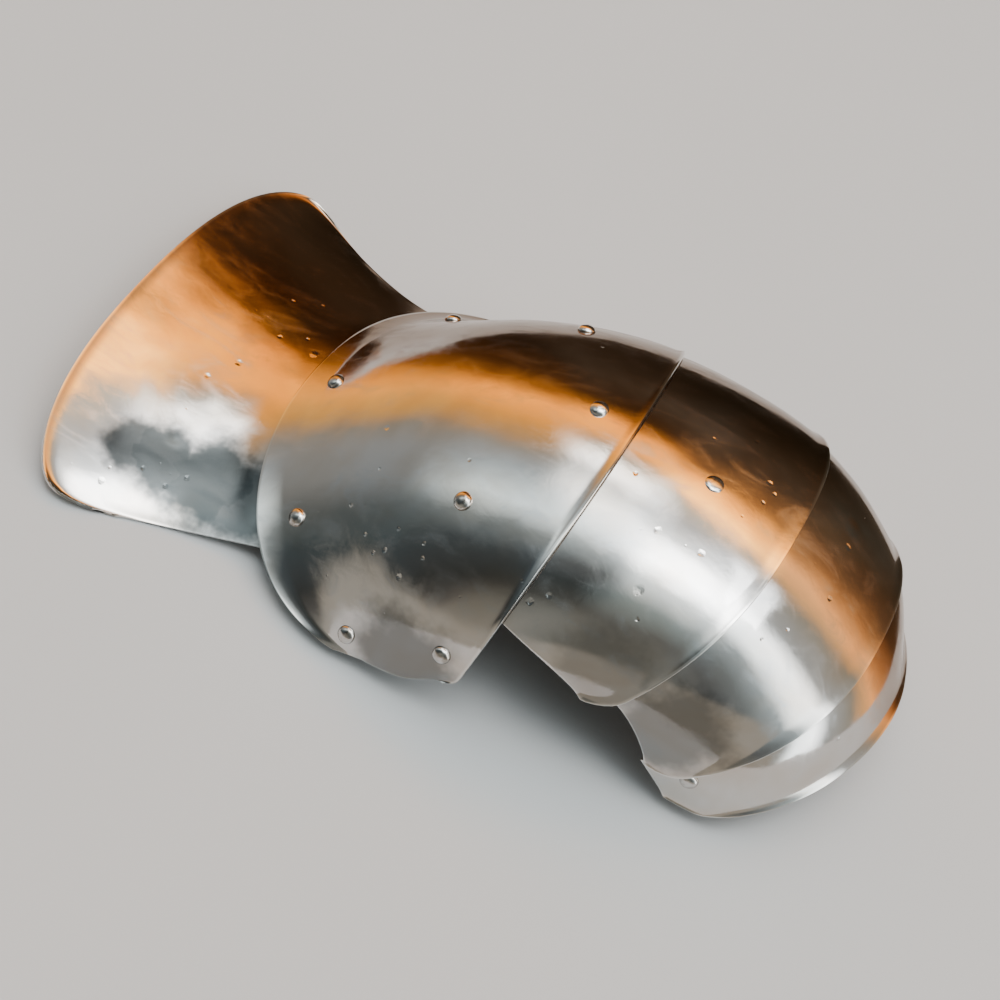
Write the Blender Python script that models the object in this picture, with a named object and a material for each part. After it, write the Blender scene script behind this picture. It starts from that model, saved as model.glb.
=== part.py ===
"""Polished steel spaulder: a neck plate, a domed cop and three lames that overlap down the arm.

The lames hang on three leathers inside. The part lies open side down on its own edges: +X runs
from the neck to the arm, +Y is the back of the shoulder and +Z is up, in metres.
"""

import math
from collections import namedtuple

import bmesh
import bpy
from mathutils import Matrix, Vector
from mathutils.bvhtree import BVHTree

# Sheet and clearances
SHEET = 0.0012
PLATE_GAP = 0.0006
PLATE_STEP = SHEET + PLATE_GAP
LEATHER = 0.0022
LEATHER_GAP = 0.0007
SEAT_GAP = 0.0003
HOLE_GAP = 0.0003

# Cop: the dome over the shoulder point
COP_WIDTH = 0.196
COP_HEIGHT = 0.082
COP_REACH = 0.127
COP_CORNER_RISE = 0.020

# Arm side: the stretch that the lames cover
ARM_REACH = 0.104
ARM_WIDTH = 0.176
ARM_HEIGHT = 0.085

# Neck plate
NECK_REACH = 0.182
NECK_WIDTH = 0.216
NECK_SWEEP = 0.036
NECK_RISE = 0.017
NECK_DROP = 0.002
NECK_TUCK = 0.036

# Edges of the plates
LAME_TUCK = 0.010
NECK_CORNER = 0.016
COP_CORNER = 0.005
LAME_CORNER = 0.011
RIM_FLARE = 0.0016
LIP_FLARE = 0.0008
LAME_FLARE = 0.0018
FLARE_WIDTH = 0.008

# Rivets and pins
HEAD_RADIUS = 0.0040
HEAD_HEIGHT = 0.0026
LOW_HEAD_HEIGHT = 0.0012
SHANK_RADIUS = 0.0015
TAIL_RADIUS = 0.0030
TAIL_HEIGHT = 0.0010
PIN_INSET = 0.005
PROBE = 0.020

# Leathers
STRAP_WIDTH = 0.018
STRAP_RAMP = 0.003
EDGE_MARGIN = 0.001

# Facets
ARCH_CELLS = 20
CORNER_CELLS = 3
COP_CELLS = 16
NECK_CELLS = 9
TUCK_CELLS = 3
LAME_CELLS = 7
STRAP_CELL = 0.010
RIVET_SIDES = 12
DOME_RINGS = 3
STATION_STEP = 0.02

# Each section is an arch over the arm. Its feet stand half_width out from the middle plane at
# foot_x, foot_z, and its crown lies reach to the arm and rise up from them. fullness under 1
# squares the arch's shoulders, and crest over fullness draws its top up to a ridge.
Section = namedtuple("Section", "foot_x foot_z reach rise half_width fullness crest")

SHOULDER_SECTIONS = (
    Section(-0.41 * COP_REACH, 0.03 * COP_CORNER_RISE, -0.60 * COP_REACH,
            0.22 * COP_HEIGHT, 0.515 * COP_WIDTH, 0.90, 2.60),
    Section(-0.18 * COP_REACH, 0.40 * COP_CORNER_RISE, -0.32 * COP_REACH,
            0.83 * COP_HEIGHT, 0.520 * COP_WIDTH, 0.99, 1.38),
    Section(0.00 * ARM_REACH, 1.00 * COP_CORNER_RISE, 0.08 * COP_REACH,
            1.00 * COP_HEIGHT, 0.500 * COP_WIDTH, 1.00, 1.00),
    Section(0.43 * ARM_REACH, 0.95 * COP_CORNER_RISE, 0.41 * ARM_REACH,
            0.94 * ARM_HEIGHT, 0.510 * ARM_WIDTH, 0.79, 0.79),
    Section(0.79 * ARM_REACH, 0.30 * COP_CORNER_RISE, 0.57 * ARM_REACH,
            0.72 * ARM_HEIGHT, 0.490 * ARM_WIDTH, 0.84, 0.84),
    Section(1.03 * ARM_REACH, 0.00 * COP_CORNER_RISE, 0.57 * ARM_REACH,
            0.35 * ARM_HEIGHT, 0.480 * ARM_WIDTH, 1.05, 1.05),
)
RIM_STATION = 0.0
LIP_STATION = 2.0

NECK_EDGE = Section(-NECK_REACH, -NECK_DROP, -NECK_SWEEP, NECK_RISE, NECK_WIDTH / 2, 0.84, 1.30)

# Share of a quarter turn that the neck plate reaches at the cop's rim and at its tucked end,
# how far its sides draw in and sink between, and how straight it leaves and arrives
WAIST_TURN = 0.58
TUCK_TURN = 0.94
WAIST_PULL = 0.55
WAIST_SINK = 0.32
LEAVE_PULL = 0.90
ARRIVE_PULL = 0.45

# Share of a quarter turn that each lame reaches from the crown, where it leaves the plate above
# and at its own lower edge
Lame = namedtuple("Lame", "name top_reach edge_reach")
LAMES = (
    Lame("lame_1", 0.66, 0.86),
    Lame("lame_2", 0.80, 0.93),
    Lame("lame_3", 0.95, 1.00),
)

# Each leather runs inside from one station and turn to another
Strap = namedtuple("Strap", "name start_station start_turn end_station end_turn")
STRAPS = (
    Strap("front_leather", 1.20, -0.35, 4.30, -0.89),
    Strap("middle_leather", 1.64, 0.00, 4.60, 0.00),
    Strap("back_leather", 1.20, 0.35, 4.30, 0.89),
)

# Rivets by the station and turn of their heads, and the outer and inner piece that they hold
Rivet = namedtuple("Rivet", "name station turn head_height outer inner")
RIVETS = (
    Rivet("neck_rivet_front_low", 0.60, -0.83, HEAD_HEIGHT, "cop", "neck_plate"),
    Rivet("neck_rivet_front", 0.29, -0.46, HEAD_HEIGHT, "cop", "neck_plate"),
    Rivet("neck_rivet_middle", 0.19, -0.02, HEAD_HEIGHT, "cop", "neck_plate"),
    Rivet("neck_rivet_back", 0.29, 0.46, HEAD_HEIGHT, "cop", "neck_plate"),
    Rivet("neck_rivet_back_low", 0.60, 0.83, HEAD_HEIGHT, "cop", "neck_plate"),
    Rivet("side_rivet_front", 1.36, -0.38, HEAD_HEIGHT, "cop", "front_leather"),
    Rivet("side_rivet_back", 1.36, 0.38, HEAD_HEIGHT, "cop", "back_leather"),
    Rivet("arm_rivet_front", 1.67, -0.86, HEAD_HEIGHT, "cop", "cop"),
    Rivet("arm_rivet_middle", 1.77, 0.00, HEAD_HEIGHT, "cop", "middle_leather"),
    Rivet("arm_rivet_back", 1.67, 0.86, HEAD_HEIGHT, "cop", "cop"),
    Rivet("lame_1_rivet", 2.48, -0.03, LOW_HEAD_HEIGHT, "lame_1", "middle_leather"),
    Rivet("lame_3_rivet_front", 4.12, -0.86, HEAD_HEIGHT, "lame_3", "front_leather"),
    Rivet("lame_3_rivet_back", 4.12, 0.86, HEAD_HEIGHT, "lame_3", "back_leather"),
)

# Plain hidden pins hold the other lames to the leathers under the plate above
Pin = namedtuple("Pin", "name lame_index strap_index")
PINS = (
    Pin("lame_1_pin_front", 1, 0),
    Pin("lame_1_pin_back", 1, 2),
    Pin("lame_2_pin_front", 2, 0),
    Pin("lame_2_pin_middle", 2, 1),
    Pin("lame_2_pin_back", 2, 2),
    Pin("lame_3_pin_middle", 3, 1),
)

STEEL = ("polished_steel", (0.62, 0.60, 0.58), 0.16, 1.0)
RIVET_STEEL = ("rivet_steel", (0.66, 0.64, 0.62), 0.22, 1.0)
HIDE = ("leather", (0.19, 0.10, 0.05), 0.62, 0.0)


def hermite(here, there, leave, arrive, share):
    """Smooth way from here to there, leaving and arriving along the two given tangents."""
    return (
        here * (1 + 2 * share) * (1 - share) ** 2
        + leave * share * (1 - share) ** 2
        + there * share ** 2 * (3 - 2 * share)
        + arrive * share ** 2 * (share - 1)
    )


def blend_rows(rows, station):
    """Smooth section at a station along the rows, with the rows at 0, 1, 2 and so on."""
    last = len(rows) - 1
    cell = min(max(int(math.floor(station)), 0), last - 1)
    values = []
    for column in range(len(rows[0])):
        here, there = rows[cell][column], rows[cell + 1][column]
        before = rows[cell - 1][column] if cell > 0 else 2 * here - there
        after = rows[cell + 2][column] if cell + 2 <= last else 2 * there - here
        values.append(hermite(here, there, (there - before) / 2, (after - here) / 2, station - cell))
    return Section(*values)


def arch_point(section, turn):
    """Point of an arch, at turn -1 in front, 0 on the crown and 1 at the back."""
    angle = turn * math.pi / 2
    side = math.copysign(abs(math.sin(angle)) ** section.fullness, angle)
    top = max(math.cos(angle), 0.0)
    return Vector((
        section.foot_x + section.reach * top ** section.fullness,
        section.half_width * side,
        section.foot_z + section.rise * top ** section.crest,
    ))


def shoulder_point(station, turn, offset=0.0):
    """Point of the shoulder form, moved offset metres outward along the form's normal."""
    point = arch_point(blend_rows(SHOULDER_SECTIONS, station), turn)
    if offset == 0.0:
        return point
    return point + offset * shoulder_normal(station, turn)


def shoulder_normal(station, turn):
    step = STATION_STEP / 2
    inner = max(min(turn, 1 - 2 * step), -1 + 2 * step)
    along = shoulder_point(station + step, inner) - shoulder_point(station - step, inner)
    across = shoulder_point(station, inner + step) - shoulder_point(station, inner - step)
    return along.cross(across).normalized()


def station_from(station, turn, distance):
    """Station that lies distance metres on toward the arm, or back if distance is negative."""
    step = math.copysign(STATION_STEP, distance)
    left = abs(distance)
    point = shoulder_point(station, turn)
    while True:
        following = shoulder_point(station + step, turn)
        stride = (following - point).length
        if stride >= left:
            return station + step * left / stride
        left -= stride
        station += step
        point = following


def material(finish):
    name, colour, roughness, metallic = finish
    made = bpy.data.materials.get(name)
    if made is None:
        made = bpy.data.materials.new(name)
        made.use_nodes = True
        shader = made.node_tree.nodes["Principled BSDF"]
        shader.inputs["Base Color"].default_value = (*colour, 1.0)
        shader.inputs["Roughness"].default_value = roughness
        shader.inputs["Metallic"].default_value = metallic
    return made


def new_object(name, shell, finish):
    mesh = bpy.data.meshes.new(name)
    shell.to_mesh(mesh)
    shell.free()
    mesh.shade_smooth()
    mesh.materials.append(material(finish))
    made = bpy.data.objects.new(name, mesh)
    bpy.context.collection.objects.link(made)
    return made


def sheet_from_columns(name, columns, thickness, finish):
    """Closed sheet whose outer face runs through columns of points, thickened inward."""
    shell = bmesh.new()
    columns = [[shell.verts.new(point) for point in column] for column in columns]
    for left, right in zip(columns, columns[1:]):
        for row in range(len(left) - 1):
            shell.faces.new((left[row], left[row + 1], right[row + 1], right[row]))
    shell.normal_update()
    if columns[len(columns) // 2][len(columns[0]) // 2].normal.z < 0:
        bmesh.ops.reverse_faces(shell, faces=shell.faces)
    made = new_object(name, shell, finish)
    wall = made.modifiers.new("wall", "SOLIDIFY")
    wall.thickness = thickness
    wall.offset = -1.0
    wall.use_even_offset = True
    return made


def places(corner_share):
    """Places from -1 to 1 across a plate, drawn together where its end corners round."""
    end = []
    for index in range(CORNER_CELLS + 1):
        angle = math.pi / 2 * index / CORNER_CELLS
        end.append(1 - corner_share * (1 - math.cos(angle)))
    middle = [(1 - corner_share) * (2 * index / ARCH_CELLS - 1) for index in range(1, ARCH_CELLS)]
    return [-place for place in end] + middle + end[::-1]


def corner_back(place, corner_share, radius):
    """Metres by which an edge draws back near its ends, to round the corners."""
    inward = min((1 - abs(place)) / corner_share, 1.0)
    return radius * (1 - math.sqrt(1 - (1 - inward) ** 2))


def flare(point, edge_point, amount):
    """Outward turn of an edge: amount at the edge, fading out over the flare's width."""
    return amount * max(1 - (point - edge_point).length / FLARE_WIDTH, 0.0) ** 2


def arc_length(station, reach):
    """Length along the form from the crown out to a turn."""
    cells = 12
    points = [shoulder_point(station, reach * index / cells) for index in range(cells + 1)]
    return sum((there - here).length for here, there in zip(points, points[1:]))


def build_cop():
    corner_share = COP_CORNER / arc_length(LIP_STATION, 1.0)
    columns = []
    for turn in places(corner_share):
        lip = station_from(LIP_STATION, turn, -corner_back(turn, corner_share, COP_CORNER))
        rim_point = shoulder_point(RIM_STATION, turn)
        lip_point = shoulder_point(lip, turn)
        column = []
        for row in range(COP_CELLS + 1):
            station = RIM_STATION + (lip - RIM_STATION) * row / COP_CELLS
            point = shoulder_point(station, turn)
            offset = flare(point, rim_point, RIM_FLARE) + flare(point, lip_point, LIP_FLARE)
            column.append(shoulder_point(station, turn, offset))
        columns.append(column)
    return sheet_from_columns("cop", columns, SHEET, STEEL)


def build_lame(index, lame):
    edge_station = LIP_STATION + index
    corner_share = LAME_CORNER / arc_length(edge_station, lame.edge_reach)
    columns = []
    for place in places(corner_share):
        top = station_from(edge_station - 1, place * lame.top_reach, -LAME_TUCK)
        back = corner_back(place, corner_share, LAME_CORNER)
        edge = station_from(edge_station, place * lame.edge_reach, -back)
        edge_point = shoulder_point(edge, place * lame.edge_reach)
        column = []
        for row in range(LAME_CELLS + 1):
            share = row / LAME_CELLS
            station = top + (edge - top) * share
            turn = place * (lame.top_reach + (lame.edge_reach - lame.top_reach) * share)
            turned = flare(shoulder_point(station, turn), edge_point, LAME_FLARE)
            column.append(shoulder_point(station, turn, turned - index * PLATE_STEP))
        columns.append(column)
    return sheet_from_columns(lame.name, columns, SHEET, STEEL)


def neck_point(place, share):
    """Point of the neck plate between its free edge, share 0, and the cop's rim, share 1."""
    rim_turn = place * WAIST_TURN
    start = arch_point(NECK_EDGE, place)
    finish = shoulder_point(RIM_STATION, rim_turn, -PLATE_STEP)
    beyond = shoulder_point(RIM_STATION + STATION_STEP, rim_turn, -PLATE_STEP)
    span = (finish - start).length
    leave = Vector((1.0, -WAIST_PULL * place ** 3, -WAIST_SINK)) * span * LEAVE_PULL
    arrive = (beyond - finish).normalized() * span * ARRIVE_PULL
    return hermite(start, finish, leave, arrive, share)


def build_neck_plate():
    corner_share = 2 * NECK_CORNER / NECK_WIDTH
    columns = []
    for place in places(corner_share):
        span = (neck_point(place, 1.0) - neck_point(place, 0.0)).length
        first = corner_back(place, corner_share, NECK_CORNER) / span
        column = []
        for row in range(NECK_CELLS + 1):
            column.append(neck_point(place, first + (1 - first) * row / NECK_CELLS))
        for row in range(1, TUCK_CELLS + 1):
            share = row / TUCK_CELLS
            turn = place * (WAIST_TURN + (TUCK_TURN - WAIST_TURN) * math.sqrt(share))
            station = station_from(RIM_STATION, turn, NECK_TUCK * share)
            column.append(shoulder_point(station, turn, -PLATE_STEP))
        columns.append(column)
    return sheet_from_columns("neck_plate", columns, SHEET, STEEL)


def strap_turn(strap, station):
    share = (station - strap.start_station) / (strap.end_station - strap.start_station)
    return strap.start_turn + (strap.end_turn - strap.start_turn) * share


def strap_knots(strap):
    """Stations and depths where a strap bends: one step down before each lame's top edge."""
    depth = SHEET + LEATHER_GAP
    knots = [(strap.start_station, depth)]
    for index in range(1, len(LAMES) + 1):
        lip = LIP_STATION + index - 1
        turn = strap_turn(strap, lip)
        ramp_end = LAME_TUCK + EDGE_MARGIN
        knots.append((station_from(lip, turn, -ramp_end - STRAP_RAMP), depth))
        depth += PLATE_STEP
        knots.append((station_from(lip, turn, -ramp_end), depth))
    knots.append((strap.end_station, depth))
    return knots


def build_strap(strap):
    rows = []
    for (station, depth), (next_station, next_depth) in zip(strap_knots(strap), strap_knots(strap)[1:]):
        turn = strap_turn(strap, station)
        length = (shoulder_point(next_station, turn) - shoulder_point(station, turn)).length
        cells = max(int(math.ceil(length / STRAP_CELL)), 1)
        for cell in range(cells):
            share = cell / cells
            rows.append((station + (next_station - station) * share, depth + (next_depth - depth) * share))
    rows.append(strap_knots(strap)[-1])
    columns = []
    for side in (-1, 0, 1):
        column = []
        for station, depth in rows:
            turn = strap_turn(strap, station)
            turn_length = (
                shoulder_point(station, turn + STATION_STEP) - shoulder_point(station, turn)
            ).length / STATION_STEP
            column.append(shoulder_point(station, turn + side * STRAP_WIDTH / 2 / turn_length, -depth))
        columns.append(column)
    return sheet_from_columns(strap.name, columns, LEATHER, HIDE)


def lathed(shell, profile, place):
    """Closed turned body from radius and height pairs, the first and last of them on the axis."""
    rings = []
    for radius, height in profile[1:-1]:
        ring = []
        for side in range(RIVET_SIDES):
            angle = 2 * math.pi * side / RIVET_SIDES
            spot = Vector((radius * math.cos(angle), radius * math.sin(angle), height))
            ring.append(shell.verts.new(place @ spot))
        rings.append(ring)
    bottom = shell.verts.new(place @ Vector((0.0, 0.0, profile[0][1])))
    top = shell.verts.new(place @ Vector((0.0, 0.0, profile[-1][1])))
    for side in range(RIVET_SIDES):
        following = (side + 1) % RIVET_SIDES
        shell.faces.new((bottom, rings[0][following], rings[0][side]))
        shell.faces.new((top, rings[-1][side], rings[-1][following]))
        for lower, upper in zip(rings, rings[1:]):
            shell.faces.new((lower[side], lower[following], upper[following], upper[side]))


def seat_place(station, turn):
    """Matrix whose origin lies on the form and whose Z is the form's normal."""
    axis = shoulder_normal(station, turn)
    turning = Vector((0.0, 0.0, 1.0)).rotation_difference(axis).to_matrix().to_4x4()
    return Matrix.Translation(shoulder_point(station, turn)) @ turning


def face_height(tree, place, radius, side):
    """Height along a place's Z of the outmost (side 1) or inmost (side -1) face near its axis."""
    heights = []
    spots = [Vector((0.0, 0.0, side * PROBE))]
    for index in range(RIVET_SIDES):
        angle = 2 * math.pi * index / RIVET_SIDES
        spots.append(Vector((radius * math.cos(angle), radius * math.sin(angle), side * PROBE)))
    direction = place.to_3x3() @ Vector((0.0, 0.0, -side))
    for spot in spots:
        hit = tree.ray_cast(place @ spot, direction, 2 * PROBE)[3]
        if hit is not None:
            heights.append(PROBE - hit)
    return side * max(heights)


def dome(base, height):
    """Profile of a domed head over a base height, from its rim to its top."""
    profile = []
    for ring in range(DOME_RINGS):
        angle = math.pi / 2 * ring / DOME_RINGS
        profile.append((HEAD_RADIUS * math.cos(angle), base + height * math.sin(angle)))
    return profile + [(0.0, base + height)]


def build_rivet(rivet, trees, cutter):
    place = seat_place(rivet.station, rivet.turn)
    seat = face_height(trees[rivet.outer], place, HEAD_RADIUS, 1) + SEAT_GAP
    under = face_height(trees[rivet.inner], place, TAIL_RADIUS, -1) - SEAT_GAP
    profile = [
        (0.0, under - TAIL_HEIGHT),
        (TAIL_RADIUS, under - TAIL_HEIGHT),
        (TAIL_RADIUS, under),
        (SHANK_RADIUS, under),
        (SHANK_RADIUS, seat),
    ]
    shell = bmesh.new()
    lathed(shell, profile + dome(seat, rivet.head_height), place)
    cut_hole(cutter, place, under, seat)
    return new_object(rivet.name, shell, RIVET_STEEL)


def build_pin(pin, trees, cutter):
    lame, strap = LAMES[pin.lame_index - 1], STRAPS[pin.strap_index]
    lip = LIP_STATION + pin.lame_index - 1
    station = station_from(lip, strap_turn(strap, lip), -PIN_INSET)
    place = seat_place(station, strap_turn(strap, station))
    flush = face_height(trees[lame.name], place, SHANK_RADIUS, -1) + SHEET
    under = face_height(trees[strap.name], place, TAIL_RADIUS, -1) - SEAT_GAP
    profile = [
        (0.0, under - TAIL_HEIGHT),
        (TAIL_RADIUS, under - TAIL_HEIGHT),
        (TAIL_RADIUS, under),
        (SHANK_RADIUS, under),
        (SHANK_RADIUS, flush),
        (0.0, flush),
    ]
    shell = bmesh.new()
    lathed(shell, profile, place)
    cut_hole(cutter, place, under, flush + SEAT_GAP)
    return new_object(pin.name, shell, RIVET_STEEL)


def cut_hole(cutter, place, bottom, top):
    """Adds to the cutter the hole that one shank passes through."""
    radius = SHANK_RADIUS + HOLE_GAP
    lathed(cutter, [(0.0, bottom), (radius, bottom), (radius, top), (0.0, top)], place)


def build_fasteners(pieces):
    """Rivets and pins, and the holes for their shanks through the plates and leathers."""
    bpy.context.view_layer.update()
    graph = bpy.context.evaluated_depsgraph_get()
    trees = {piece.name: BVHTree.FromObject(piece, graph) for piece in pieces}
    cutter = bmesh.new()
    for rivet in RIVETS:
        build_rivet(rivet, trees, cutter)
    for pin in PINS:
        build_pin(pin, trees, cutter)
    holes = new_object("shank_holes", cutter, RIVET_STEEL)
    holes.hide_render = True
    holes.display_type = "WIRE"
    for piece in pieces:
        cut = piece.modifiers.new("holes", "BOOLEAN")
        cut.operation = "DIFFERENCE"
        cut.solver = "EXACT"
        cut.object = holes


def rest_on_floor():
    """Moves every mesh so that the part stands on Z = 0, centred on the origin."""
    bpy.context.view_layer.update()
    graph = bpy.context.evaluated_depsgraph_get()
    spots = []
    for piece in bpy.data.objects:
        if not piece.hide_render:
            spots += [Vector(corner) for corner in piece.evaluated_get(graph).bound_box]
    low = Vector(min(spot[axis] for spot in spots) for axis in range(3))
    high = Vector(max(spot[axis] for spot in spots) for axis in range(3))
    shift = Vector((-(low.x + high.x) / 2, -(low.y + high.y) / 2, -low.z))
    for piece in bpy.data.objects:
        piece.data.transform(Matrix.Translation(shift))


def clear_scene():
    for existing in list(bpy.data.objects):
        bpy.data.objects.remove(existing, do_unlink=True)


def main():
    clear_scene()
    pieces = [build_neck_plate(), build_cop()]
    for index, lame in enumerate(LAMES, start=1):
        pieces.append(build_lame(index, lame))
    for strap in STRAPS:
        pieces.append(build_strap(strap))
    build_fasteners(pieces)
    rest_on_floor()


main()
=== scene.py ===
"""Polished steel spaulder on a pale studio floor.

The plates are smooth lofts of the same arches as the solid frame, with hammer waves, dents,
edges that are worn and painted lighter as a highlight, and painted dark reflections; rivets, pins
and leathers get their own finer pieces and finishes.
"""

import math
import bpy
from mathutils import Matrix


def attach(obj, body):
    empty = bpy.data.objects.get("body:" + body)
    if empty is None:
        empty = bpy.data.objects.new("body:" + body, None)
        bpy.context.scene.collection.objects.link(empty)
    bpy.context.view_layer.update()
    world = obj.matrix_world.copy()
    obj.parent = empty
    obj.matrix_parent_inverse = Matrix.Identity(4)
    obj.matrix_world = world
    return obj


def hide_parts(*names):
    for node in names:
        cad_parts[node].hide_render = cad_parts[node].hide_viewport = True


bl_info = {
    "name": "Polished spaulder",
    "version": (1, 0, 0),
    "blender": (4, 5, 0),
    "location": "View3D > Sidebar > Spaulder",
    "description": "Dresses the spaulder's frame with polished plates, rivets and leathers",
    "category": "Object",
}

from collections import namedtuple

import bmesh
import bpy
import numpy as np
from bpy.props import FloatProperty, FloatVectorProperty, PointerProperty
from bpy.types import Operator, Panel, PropertyGroup
from mathutils import Matrix, Vector, noise

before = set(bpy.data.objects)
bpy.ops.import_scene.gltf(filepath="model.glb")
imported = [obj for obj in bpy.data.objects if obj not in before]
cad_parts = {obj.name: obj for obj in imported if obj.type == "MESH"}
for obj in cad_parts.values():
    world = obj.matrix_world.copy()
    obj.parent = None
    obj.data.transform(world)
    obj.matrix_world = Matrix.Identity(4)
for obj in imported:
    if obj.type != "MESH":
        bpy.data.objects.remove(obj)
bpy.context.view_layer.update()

# Where the shoulder form's own origin lies in the frame, whose origin is the middle of the floor
FORM_SPOT = Vector((0.02744, 0.0, 0.00652))

# Sheet and clearances
SHEET = 0.0012
PLATE_GAP = 0.0006
PLATE_STEP = SHEET + PLATE_GAP
LEATHER = 0.0022
LEATHER_GAP = 0.0007

# Main sizes
COP_WIDTH = 0.196
COP_HEIGHT = 0.082
COP_REACH = 0.127
COP_CORNER_RISE = 0.020
ARM_REACH = 0.104
ARM_WIDTH = 0.176
ARM_HEIGHT = 0.085
NECK_REACH = 0.182
NECK_WIDTH = 0.216
NECK_SWEEP = 0.036
NECK_RISE = 0.017
NECK_DROP = 0.002
NECK_TUCK = 0.036

# Edges
LAME_TUCK = 0.010
NECK_CORNER = 0.016
COP_CORNER = 0.005
LAME_CORNER = 0.011
EDGE_ROUNDING = 0.00035

# How far the plates' edges turn out, and how wide a strip turns
RIM_FLARE = 0.0018
RIM_FLARE_WIDTH = 0.0125
LIP_FLARE = 0.0009
LIP_FLARE_WIDTH = 0.004
LAME_FLARE = 0.0012
LAME_FLARE_WIDTH = 0.006
NECK_FLARE = 0.0010
NECK_FLARE_WIDTH = 0.007
SOFT_FOLD = 2.0
CREASED_FOLD = 1.35

# Mesh cells across and along each plate, and along a leather
COP_CELLS = (150, 110)
LAME_CELLS = (130, 56)
NECK_CELLS = (140, 70)
TUCK_CELLS = 18
CORNER_CELLS = 6
STRAP_CELLS = (12, 160)
FASTENER_SIDES = 36

# Hammer waves: how far each plate's lie from the cop's, and how they calm down in the neck's tuck
LAME_WAVE_SHIFT = 0.3
NECK_WAVE_SHIFT = 2.0
NECK_WAVE_SHARE = 1.4
TUCKED_WAVES = 0.3
SETTLING_ROWS = 11

# Rivets, pins and leathers
HEAD_RADIUS = 0.0040
HEAD_HEIGHT = 0.0026
HEAD_SINK = 0.0001
HEAD_RIM = 0.00012
LOW_HEAD_HEIGHT = 0.0012
SHANK_RADIUS = 0.0015
TAIL_RADIUS = 0.0030
TAIL_HEIGHT = 0.0010
RIVET_TAIL_ROUNDING = 0.00035
PIN_TAIL_ROUNDING = 0.0003
PIN_INSET = 0.005
STRAP_WIDTH = 0.018
STRAP_RAMP = 0.003
STRAP_TAPER = 0.35
STRAP_END_ROUNDING = 0.006
STRAP_EDGE_ROUNDING = 0.0006
EDGE_MARGIN = 0.001
STATION_STEP = 0.02

Section = namedtuple("Section", "foot_x foot_z reach rise half_width fullness crest")

SHOULDER_SECTIONS = (
    Section(-0.41 * COP_REACH, 0.03 * COP_CORNER_RISE, -0.60 * COP_REACH,
            0.22 * COP_HEIGHT, 0.515 * COP_WIDTH, 0.90, 2.60),
    Section(-0.18 * COP_REACH, 0.40 * COP_CORNER_RISE, -0.32 * COP_REACH,
            0.83 * COP_HEIGHT, 0.520 * COP_WIDTH, 0.99, 1.38),
    Section(0.00 * ARM_REACH, 1.00 * COP_CORNER_RISE, 0.08 * COP_REACH,
            1.00 * COP_HEIGHT, 0.500 * COP_WIDTH, 1.00, 1.00),
    Section(0.43 * ARM_REACH, 0.95 * COP_CORNER_RISE, 0.41 * ARM_REACH,
            0.94 * ARM_HEIGHT, 0.510 * ARM_WIDTH, 0.79, 0.79),
    Section(0.79 * ARM_REACH, 0.30 * COP_CORNER_RISE, 0.57 * ARM_REACH,
            0.72 * ARM_HEIGHT, 0.490 * ARM_WIDTH, 0.84, 0.84),
    Section(1.03 * ARM_REACH, 0.00 * COP_CORNER_RISE, 0.57 * ARM_REACH,
            0.35 * ARM_HEIGHT, 0.480 * ARM_WIDTH, 1.05, 1.05),
)
NECK_EDGE = Section(-NECK_REACH, -NECK_DROP, -NECK_SWEEP, NECK_RISE, NECK_WIDTH / 2, 0.84, 1.30)
RIM_STATION = 0.0
LIP_STATION = 2.0

# How the neck plate meets the cop and leaves its own free edge
WAIST_TURN = 0.58
TUCK_TURN = 0.94
WAIST_PULL = 0.55
WAIST_SINK = 0.32
LEAVE_PULL = 0.90
ARRIVE_PULL = 0.45

# The turns that a lame's top and lower edges reach on either side
Lame = namedtuple("Lame", "name top_reach edge_reach")
LAMES = (
    Lame("lame_1", 0.66, 0.86),
    Lame("lame_2", 0.80, 0.93),
    Lame("lame_3", 0.95, 1.00),
)

Strap = namedtuple("Strap", "name start_station start_turn end_station end_turn")
STRAPS = (
    Strap("front_leather", 1.20, -0.35, 4.30, -0.89),
    Strap("middle_leather", 1.64, 0.00, 4.60, 0.00),
    Strap("back_leather", 1.20, 0.35, 4.30, 0.89),
)

# Depths under the outer face at which rivets end: through the neck plate, through a leather, or
# through the cop alone
THROUGH_NECK = PLATE_STEP + SHEET
THROUGH_STRAP = SHEET + LEATHER_GAP + LEATHER
THROUGH_COP = SHEET

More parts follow.
